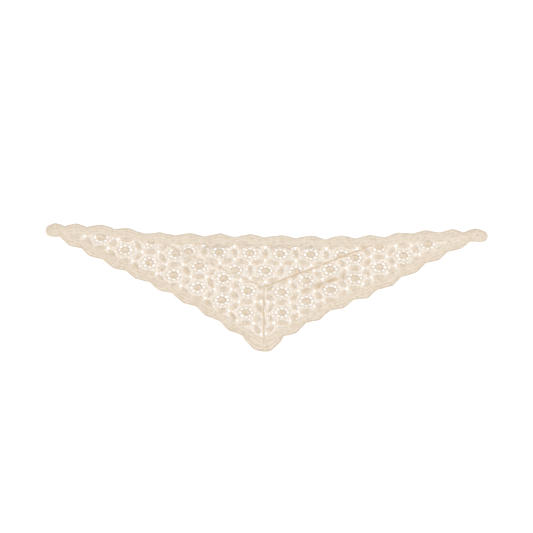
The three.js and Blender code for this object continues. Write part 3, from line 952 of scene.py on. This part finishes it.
def flecks(name):
    """Wider meshes, scattered over the ground of a panel."""
    outline, places, hexagon = OUTLINES[name], lattice(name), cell_corners(name)[3]
    draw = np.random.default_rng(FLECK["seed"])
    found = np.empty((0, 2))
    for point in draw.uniform(outline.min(axis=0), outline.max(axis=0), (FLECK["tries"], 2)):
        crowded = len(found) and np.hypot(*(found - point).T).min() < FLECK["apart"]
        if not crowded and fleck_fits(point, outline, places, hexagon):
            found = np.vstack([found, point])
    holes = []
    for point in found:
        turns = around(FLECK["points"], draw.uniform(0, TAU))
        reach = draw.uniform(*FLECK["sizes"]) * draw.uniform(*FLECK["uneven"], FLECK["points"])
        holes.append(point + compass(turns) * reach[:, None])
    return holes


FLECKS = {name: flecks(name) for name in LACE}
print("wider meshes:", {name: len(holes) for name, holes in FLECKS.items()})

# %% Trim and work the three panels
YARN_SIDES = 5
PANEL_LOOSE = 0.9
PANEL_SEEDS = {"yoke": 3.0, "wing_left": 5.0, "wing_right": 8.0}
TRIM_MARGIN = 0.5
INSIDE_ONLY, WELD = 1, 1e-4  # no triangles outside the outline, and points this near are one


def net_of(outline, holes, fill=()):
    """A flat net of triangles inside an outline, with the holes left out."""
    points, faces = outline.tolist(), [list(range(len(outline)))]
    for hole in holes:
        faces.append(list(range(len(points), len(points) + len(hole))))
        points.extend(hole.tolist())
    points.extend(np.asarray(fill).tolist())
    flat, _, triangles, _, _, sources = delaunay_2d_cdt(points, [], faces, INSIDE_ONLY, WELD)
    kept = [list(t) for t, source in zip(triangles, sources) if list(source) == [0]]
    return np.array([list(p) for p in flat]), kept


def yarn_trimmer(name):
    """What the yarn is trimmed to: the panel, but for its open corners, slots and wider meshes."""
    outline = YARN_OUTLINES[name]
    holes = [anticlockwise(h) for h in edge_openings(name) + seam_slots(name) + FLECKS[name]]
    flat, faces = net_of(outline, [h for h in holes if inside(h, outline).min() > TRIM_MARGIN])
    return in_scene(name, new_mesh(name, in_frame(raised(0, flat)), [], faces))


def work_panel(name):
    cell, trimmer = lace_cell(name), yarn_trimmer(name)
    places = new_mesh(f"{name}_points", in_frame(raised(0, lattice(name))))
    piece = run_tree(in_scene(places.name, places), REPEAT, {
        "Cell": cell, "Panel": trimmer, "Sides": YARN_SIDES, "Loose": PANEL_LOOSE * MM,
        "Seed": PANEL_SEEDS[name], "Material": LACE_COTTON}, f"{name}_yarn")
    for used in (cell, trimmer):
        bpy.data.objects.remove(used)
    return piece


panel_yarn = {name: work_panel(name) for name in LACE}

# %% [markdown]
# ## The ground sheet
#
# Under the yarn lies one thin sheet for each panel, with the gaps of the lace cut out of it: the
# eyelets, the open corners, the slots by the middle seam and the meshes of the trellis. Beside the
# leaves every mesh is open. Elsewhere less than half are, and wider ones are scattered among them.
# A constrained triangulation does all the cutting at once. It is given the outline and every hole,
# and the triangles that lie in no hole are kept.

# %% The holes of one cell
EYELET = dict(inner=10.2, outer=16.4, spread=0.35, points=8, closing=0.1, taper=(0.72, 0.28))
CORNER_HOLE, CORNER_NOTCH = 5.2, 3.0
MESH_HOLE = dict(half_height=2.1, share=0.4, side_margin=0.4, leaf_margin=0.5, corner_margin=0.8)


def eyelet_holes():
    """Eight drops, narrower towards the heart. Those above and below it are a little smaller."""
    holes, turn = [], around(EYELET["points"])
    middle, half = (EYELET["inner"] + EYELET["outer"]) / 2, (EYELET["outer"] - EYELET["inner"]) / 2
    narrow, widening = EYELET["taper"]
    taper = narrow + widening * (np.cos(turn) + 1) / 2
    for angle in around(EYELETS):
        size = 1 - EYELET["closing"] * abs(math.sin(angle)) ** 3
        bent = angle + EYELET["spread"] * size * taper * np.sin(turn)
        holes.append(polar(middle + half * size * np.cos(turn), bent, 0)[:, :2])
    return holes


def corner_hole(corner, others):
    """The gap where three leaves meet: an arm away from each leaf, and notches between."""
    arms = [unit(corner - other) for other in others]
    arms.sort(key=lambda arm: math.atan2(arm[1], arm[0]))
    points = []
    for arm, following in zip(arms, arms[1:] + arms[:1]):
        points += [corner + arm * CORNER_HOLE, corner + unit(arm + following) * CORNER_NOTCH]
    return np.array(points)


def mesh_holes(hexagon):
    """The meshes of the trellis, but for those too near to a side, a leaf or a corner."""
    tall, half_turn = MESH_HOLE["half_height"], TAU / TRELLIS["repeats"] * MESH_HOLE["share"]
    radii, turns = np.array([-tall, 0, tall, 0]), np.array([0, -half_turn, 0, half_turn])
    holes = []
    for number in range(TRELLIS["rows"]):
        radius, angle = trellis_row(number)
        outer = TRELLIS["inner"] + (number + 1) * TRELLIS["row"]
        for turn in angle[radius < outer - TRELLIS["row"] / 2]:
            hole = polar(outer + radii, turn + turns, 0)[::-1, :2]
            if all((
                depth_in_cell(hole, hexagon).min() >= MESH_HOLE["side_margin"],
                not in_leaf(hole, hexagon, MESH_HOLE["leaf_margin"]).any(),
                corner_distance(hole, hexagon).min() >= CORNER_HOLE + MESH_HOLE["corner_margin"],
            )):
                holes.append(hole)
    return holes


def cell_holes(name):
    first, second, side, hexagon = cell_corners(name)
    # A third leaf reaches each corner from the next cell, mirrored through the shared side.
    third_first = first + (first - second) + (first - side)
    third_second = second + (second - first) + (second + side)
    corners = [
        corner_hole(first, [second, side, third_first]),
        corner_hole(second, [first, -side, third_second]),
    ]
    return [*eyelet_holes(), *corners, *mesh_holes(hexagon)]


# %% The holes of a panel
HOLE_SEED = 5
HOLE_MARGIN = 1.7
BAR = 0.6  # the narrowest bar of cloth between two holes
NEIGHBOUR = 16  # holes whose middles are further apart than this can't meet
MESH_OPEN, LEAF_OPEN = 0.4, 1.0  # the share of the meshes left open, and beside the leaves
MESH_SIZES, OPENING_SIZES = (0.85, 1.2), (0.84, 1.08)  # the smallest and largest share


def offered_holes(name):
    """Every hole that the pattern asks for, and how far inside the outline it has to lie."""
    draw = np.random.default_rng(HOLE_SEED)
    offered = [(hole, TOP_OPENING["margin"]) for hole in edge_openings(name)]
    offered += [(hole, HOLE_MARGIN) for hole in seam_slots(name) + FLECKS[name]]
    windows = window_holes(cell_corners(name)[3])
    pattern = [(hole, len(hole) == 4, in_windows(hole.mean(axis=0), windows)[0])
               for hole in cell_holes(name)]
    for place in lattice(name):
        for hole, small, by_leaf in pattern:
            if small and draw.random() > (LEAF_OPEN if by_leaf else MESH_OPEN):
                continue
            share = draw.uniform(*(MESH_SIZES if small else OPENING_SIZES))
            middle = hole.mean(axis=0)
            offered.append((middle + (hole - middle) * share + place, HOLE_MARGIN))
    return offered


def placed_holes(name):
    """The holes of a panel. One that would cut into another already there is left out."""
    outline = OUTLINES[name]
    kept, middles = [], np.empty((0, 2))
    for hole, margin in offered_holes(name):
        middle = hole.mean(axis=0)
        if inside(hole, outline).min() < margin or fold_at(*middle) > FOLD_CLOSES:
            continue
        near = [kept[i] for i in np.flatnonzero(np.hypot(*(middles - middle).T) < NEIGHBOUR)]
        if len(hole) != EYELET["points"] and any(
                inside(hole, other).max() > -BAR or inside(other, hole).max() > -BAR for other in near):
            continue
        kept.append(anticlockwise(hole))
        middles = np.vstack([middles, middle])
    return kept


# %% Cut and thicken the sheet
SHEET_LOW, SHEET_TOP = 0.15, 0.95
SHEET_SHADE = 0.22
FILL_STEP, FILL_MARGIN = 7.0, 1.0


def filling(outline):
    """Points all over a panel, so that the sheet can bend with the cloth."""
    low, high = outline.min(axis=0), outline.max(axis=0)
    grid = np.meshgrid(*(np.arange(low[i], high[i], FILL_STEP) for i in range(2)))
    grid = np.stack(grid, axis=-1).reshape(-1, 2)
    return grid[inside(grid, outline) > FILL_MARGIN]


def thin_shell(name, flat, faces, material):
    """A closed shell on a flat net of triangles: its top, its underside and the walls between."""
    used, numbers = np.unique(faces, return_inverse=True)
    flat, faces, count = flat[used], numbers.reshape(-1, 3).tolist(), len(used)
    edges = dict.fromkeys(pair for face in faces for pair in zip(face, face[1:] + face[:1]))
    faces += [[i + count for i in reversed(face)] for face in faces]
    faces += [[a, a + count, b + count, b] for a, b in edges if (b, a) not in edges]
    points = np.vstack([raised(SHEET_TOP, flat), raised(SHEET_LOW, flat)])
    mesh = new_mesh(name, in_frame(points), [], faces)
    mesh.materials.append(material)
    shade = mesh.attributes.new("shade", "FLOAT", "POINT")
    shade.data.foreach_set("value", np.full(len(points), SHEET_SHADE))
    settle(mesh)
    return in_scene(name, mesh)


panel_ground = {}
for name in LACE:
    holes = placed_holes(name)
    net = net_of(OUTLINES[name], holes, filling(OUTLINES[name]))
    panel_ground[name] = thin_shell(f"{name}_ground", *net, LACE_COTTON)
    print(f"{name}_ground: {len(holes)} holes, {len(panel_ground[name].data.polygons)} faces")

# %% [markdown]
# ## Rows of stitches
#
# The edging is worked in rows along the edge, and the seams are chained over. Each row is a rail,
# and one stitch is drawn once as a tiny wire. The tree below walks along the rail in even steps and
# draws the stitch at each of them, reaching from this rail to the next, however far that is.

# %% The stitching tree
STITCH_INPUTS = [("Stitch", "Object"), ("Pitch", "Float"), *SPIN_INPUTS]
VECTOR = "FLOAT_VECTOR"


def stitch_tree():
    tree, given, out = new_tree("Work stitches", STITCH_INPUTS)
    rails = geo(tree, "MeshToCurve", {"Mesh": given["Geometry"]})
    even = geo(tree, "ResampleCurve", {"Curve": rails, "Length": given["Pitch"]}, mode="LENGTH")
    for name, kind in (("origin", "InputPosition"), ("along", "InputTangent")):
        even = geo(tree, "StoreNamedAttribute", {
            "Geometry": even, "Name": name, "Value": geo(tree, kind)}, data_type=VECTOR, domain="POINT")
    stitches = geo(tree, "InstanceOnPoints", {
        "Points": even, "Instance": object_geometry(tree, given["Stitch"])})
    wires = geo(tree, "RealizeInstances", {"Geometry": stitches})
    unit_place = named(tree, "unit", VECTOR)
    share = node(tree, "ShaderNodeSeparateXYZ", {"Vector": unit_place}).outputs
    step = vector_math(tree, "SCALE", named(tree, "along", VECTOR), share["X"])
    reach = vector_math(tree, "SCALE", named(tree, "across", VECTOR), share["Y"])
    lift = vector_math(tree, "SCALE", (0, 0, 1), share["Z"])
    foot = vector_math(tree, "ADD", named(tree, "origin", VECTOR), reach)
    whole = vector_math(tree, "ADD", foot, vector_math(tree, "ADD", step, lift))
    drawn = geo(tree, "SetPosition", {"Geometry": wires, "Position": whole})
    return end_with_yarn(tree, drawn, given, out)


STITCH = stitch_tree()
print("Work stitches:", len(STITCH.nodes), "nodes")

# %% The stitches
# Each stroke of a stitch is a path of (along in mm, across as a share, height in mm).
PITCH = 2.7
POST_PATH = [(-0.15, -0.12, -0.25), (0.1, 0.5, 0.15), (0.15, 1.12, -0.25)]
LINK_PATH = [(-0.5, 0.95, 0.1), (0.75, 0.75, 0.35), (PITCH, 0.08, 0.0)]
POST_LOOK = dict(thick=(1.0, 1.1, 1.0), shade=0.22)
LINK_LOOK = dict(thick=(0.45, 0.55, 0.45), shade=0.3)


def stitch_object(name, paths, look):
    wires = Wires()
    for path in paths:
        wires.add(np.array(path), **look, unit=np.array(path) * [MM, 1, MM])
    return wires.make(name, lambda points: points * MM)


POST = stitch_object("post", [POST_PATH], POST_LOOK)
LINK = stitch_object("link", [np.array(LINK_PATH) * [1, way, 1] for way in (1, -1)], LINK_LOOK)
print("a post has", len(POST.data.vertices), "points, and a link", len(LINK.data.vertices))

# %% [markdown]
# ## The edging
#
# Three lengths of edging meet at the tips and at the bottom point. Each has a thin core on the form
# of its solid, and over it six rows of posts and three chains. The top one also has a few short
# chains on the lace beside it, and small crescents over the rosettes that it nearly touches.

# %% Rails for the edging
RIBS = (1.4, 2.3, 1.9, 2.3, 1.9, 2.2, 1.8)  # heights across the band, from its outer foot
ROWS = len(RIBS) - 1
ROW_TINTS = (0.3, 0.14, 0.18, 0.12, 0.16, 0.06)
# the rim's chain (row 0) is painted much darker, as painted shade along the edging's outer edge; rows 2
# and 4 give fainter darker lines
CHAIN_TINTS_AND_RIM_SHADE = {0: 0.8, 2: 0.3, 4: 0.25}
TINT_LENGTHS, TINT_DRIFT = (75.0, 31.0, 17.0), 0.05
POST_SINK, CHAIN_SINK = 0.9, 0.55  # how far a post's middle and a chain's lie below the rib
EXTRA_HEIGHT = 1.7
RAIL_STEP = 2.0
RIM_INSET = 0.9


def band_levels(outer, inner, x):
    """How far up the scarf each row of a band runs, from its outer foot to its inner foot."""
    return [outer(x) + (inner(x) - outer(x)) * i / ROWS for i in range(ROWS + 1)]


def uneven_tint(x, middle):
    """A tint that drifts along a row."""
    phase = rng.uniform(0, TAU, 3)
    waves = sum(np.sin(TAU * x / length + p) for length, p in zip(TINT_LENGTHS, phase))
    return middle + TINT_DRIFT * waves


def edging_rails(outer, inner, start, end, steepness, depth=lambda x: 1.0, extra=()):
    """The rails for an edging's posts and for its chains. The posts stand square to its slope."""
    x = np.linspace(start, end, round((end - start) / RAIL_STEP))
    levels = band_levels(outer, inner, x)
    posts, links = Wires(), Wires()
    inwards = np.sign(levels[-1][len(x) // 2] - levels[0][len(x) // 2])
    normal = np.tile(unit(np.array([-steepness, 1.0, 0.0])) * inwards, (len(x), 1))
    for i, level in enumerate(levels):
        path = raised(RIBS[i] - POST_SINK, x, level)
        if i < ROWS:
            shift = -steepness * (levels[i + 1] - level) / (1 + steepness**2)
            x_next = np.clip(x + shift, start, end)
            y_next = np.interp(x_next, x, levels[i + 1])
            across = raised(RIBS[i + 1] - RIBS[i], x_next - x, y_next - level)
            posts.add(path, 1.0, across=across * MM, tint=uneven_tint(x, depth(x) * ROW_TINTS[i]))
        if i in CHAIN_TINTS_AND_RIM_SHADE:
            rim = path + normal * (RIM_INSET if i == 0 else 0) + [0, 0, POST_SINK - CHAIN_SINK]
            links.add(rim, 1.0, across=normal * MM, tint=uneven_tint(x, depth(x) * CHAIN_TINTS_AND_RIM_SHADE[i]))
    for height, first, last, strength in extra:
        reach = np.arange(first, last, RAIL_STEP)
        across = np.tile([0, inwards * MM, 0], (len(reach), 1))
        links.add(raised(EXTRA_HEIGHT, reach, height(reach)), 1.0, across=across,
                  tint=uneven_tint(reach, strength))
    return posts.make("post_rails", in_frame), links.make("link_rails", in_frame)


# %% The core of an edging
CORE_STEP = 3.0
CORE_INSET = 0.9
CORE_SINK = 0.75


def edging_core(name, outer, inner, start, end):
    """A tube of sections across the band, closed at both ends."""
    x = np.linspace(start, end, round((end - start) / CORE_STEP))
    low, high = outer(x), inner(x)
    inwards = np.sign(high[len(x) // 2] - low[len(x) // 2])
    low = low + inwards * CORE_INSET
    heights = [SHEET_LOW, *(height - CORE_SINK for height in RIBS), SHEET_LOW]
    steps = [0, *range(ROWS + 1), ROWS]
    sections = np.stack([
        raised(height, x, low + (high - low) * i / ROWS) for i, height in zip(steps, heights)], axis=1)
    count = len(heights)
    ids = np.arange(len(x) * count).reshape(-1, count)
    after = np.roll(ids, -1, axis=1)
    quads = np.stack([ids[:-1], ids[1:], after[1:], after[:-1]], axis=-1).reshape(-1, 4)
    faces = quads.tolist() if inwards > 0 else quads[:, [0, 3, 2, 1]].tolist()
    turn = int(inwards)
    faces += [ids[0, ::turn].tolist(), ids[-1, ::-turn].tolist()]
    mesh = new_mesh(name, in_frame(sections.reshape(-1, 3)), [], faces)
    mesh.materials.append(EDGING_COTTON)
    mesh.shade_smooth()
    settle(mesh)
    return in_scene(name, mesh)


# %% What the top edging has besides
SHORT_CHAINS = [  # how far below the band, from, to, tint
    (1.8, -158, -84, 0.14), (5.0, -150, -96, 0.18), (8.2, -156, -104, 0.14), (1.6, 52, 96, 0.14),
]
# Crescents go over the rosettes whose middles are between least and most under the lace's top.
CRESCENT = dict(half=25.0, foot=12.0, rise=8.0, least=8, most=30, within=170)
CRESCENT_ROWS = ((-1.9, 0.16), (0.0, 0.12), (1.9, 0.0))  # up by, tint
TOP_PALE, TIP_DEPTH, TIP_SHARPNESS = 0.55, 0.8, 8


def crescent(middle_x, foot):
    return lambda x: foot + CRESCENT["rise"] * (1 - ((x - middle_x) / CRESCENT["half"]) ** 2)


def top_depth(x):
    """The top edging is paler than the lower ones but for its tips, where the rows crowd together."""
    return TOP_PALE + TIP_DEPTH * (np.abs(x) / HALF_SPAN) ** TIP_SHARPNESS


top_rows = [(lambda x, d=d: top_inner(x) - d, a, b, tint) for d, a, b, tint in SHORT_CHAINS]
for x, y in lattice("yoke"):
    if CRESCENT["least"] < panel_top(x) - y < CRESCENT["most"] and abs(x) < CRESCENT["within"]:
        for step, tint in CRESCENT_ROWS:
            path = crescent(x, y + CRESCENT["foot"] + step)
            top_rows.append((path, x - CRESCENT["half"], x + CRESCENT["half"], tint))
print("short chains along the top:", len(top_rows))

# %% Work the three edgings
LOWER_STEEPNESS = 0.48
EDGING_LOOSE, EDGING_SEED = 0.5, 20.0
LOWER = dict(outer=lower_outer, inner=lower_inner)
EDGINGS = {
    "edging_top": dict(outer=top_outer, inner=top_inner, start=-HALF_SPAN, end=HALF_SPAN),
    "edging_left": dict(**LOWER, start=-HALF_SPAN, end=POINT_X - SEAM_GAP / 2),
    "edging_right": dict(**LOWER, start=POINT_X + SEAM_GAP / 2, end=HALF_SPAN),
}
WORK = {
    "edging_top": dict(steepness=0.0, depth=top_depth, extra=top_rows),
    "edging_left": dict(steepness=-LOWER_STEEPNESS),
    "edging_right": dict(steepness=LOWER_STEEPNESS),
}


def work_stitches(rails, stitch, name, **values):
    given = {"Stitch": stitch, "Pitch": PITCH * MM, "Sides": YARN_SIDES, **values}
    return run_tree(rails, STITCH, given, name)


edging_core_pieces, edging_yarn_pieces = {}, {}
for number, (name, row) in enumerate(EDGINGS.items()):
    edging_core_pieces[name] = edging_core(f"{name}_core", **row)
    posts, links = edging_rails(**row, **WORK[name])
    yarn = dict(Loose=EDGING_LOOSE * MM, Seed=EDGING_SEED + number, Material=EDGING_COTTON)
    edging_yarn_pieces[name] = [
        work_stitches(posts, POST, f"{name}_rows", **yarn),
        work_stitches(links, LINK, f"{name}_chains", **yarn),
    ]

# %% [markdown]
# ## The seams
#
# Where two panels meet, the edges are laid side by side and chained together. A seam shows as two
# lines of chain with a narrow gap between them, and its colour drifts along its length. The shade in
# that gap is painted into the seam's yarn, deepest on the right seam and faintest on the left.

# %% Work the seams
SEAM_SIDE, SEAM_REACH, SEAM_HEIGHT = 0.75, 0.6, 1.5
SEAM_STEP = 3.0
SEAM_LOOSE, SEAM_SEED = 0.4, 40.0
# painted shade in each seam's groove, darkest on the right seam: its middle and its drift along the seam
SEAM_PAINTED_SHADE = {"left": (0.25, 0.18), "right": (0.95, 0.05), "middle": (0.6, 0.18)}  # middle, drift
SEAM_LINES = {**SEAMS, "middle": np.array([YOKE_POINT, (POINT_X, 22.0)])}  # it ends in the edging


def seam_rails(line, middle, drift, number):
    start, end = line
    length, along = np.linalg.norm(end - start), unit(end - start)
    side = left_of(along)
    steps = np.linspace(0, 1, round(length / SEAM_STEP))
    waves = sum(np.sin(TAU * steps * length / reach + number) for reach in TINT_LENGTHS)
    across = np.tile([*(side * SEAM_REACH * MM), 0], (len(steps), 1))
    rails = Wires()
    for way in (-1, 1):
        plan = start + np.outer(steps * length, along) + side * SEAM_SIDE * way
        rails.add(raised(SEAM_HEIGHT, plan), 1.0, across=across, tint=middle + drift * waves)
    return rails.make("seam_rails", in_frame)


seam_pieces = {}
for number, (name, line) in enumerate(SEAM_LINES.items()):
    seam_pieces[name] = work_stitches(
        seam_rails(line, *SEAM_PAINTED_SHADE[name], number), LINK, f"seam_{name}",
        Loose=SEAM_LOOSE * MM, Seed=SEAM_SEED + number, Material=LACE_COTTON)

for used in (POST, LINK):
    bpy.data.objects.remove(used)

# %% [markdown]
# ## Attaching the pieces
#
# Each panel's sheet and its yarn are attached to the root body, and the panel's solid is hidden.
# The edgings are treated the same way, and the seams are attached too.


for name, ground in panel_ground.items():
    yarn = panel_yarn[name]
    for piece in (ground, yarn):
        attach(piece, "root")
    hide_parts(name)

# %% The edgings and the seams
BAND_SAMPLES = 2000

for name, row in EDGINGS.items():
    core = edging_core_pieces[name]
    for piece in (core, *edging_yarn_pieces[name]):
        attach(piece, "root")
    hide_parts(name)
    x = np.linspace(row["start"], row["end"], BAND_SAMPLES)
    low, high = row["outer"](x), row["inner"](x)

for name, piece in seam_pieces.items():
    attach(piece, "root")

# %% Print the scene's box, and finish
low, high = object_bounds()
print("box", [round(v, 4) for v in (*low, *high)])
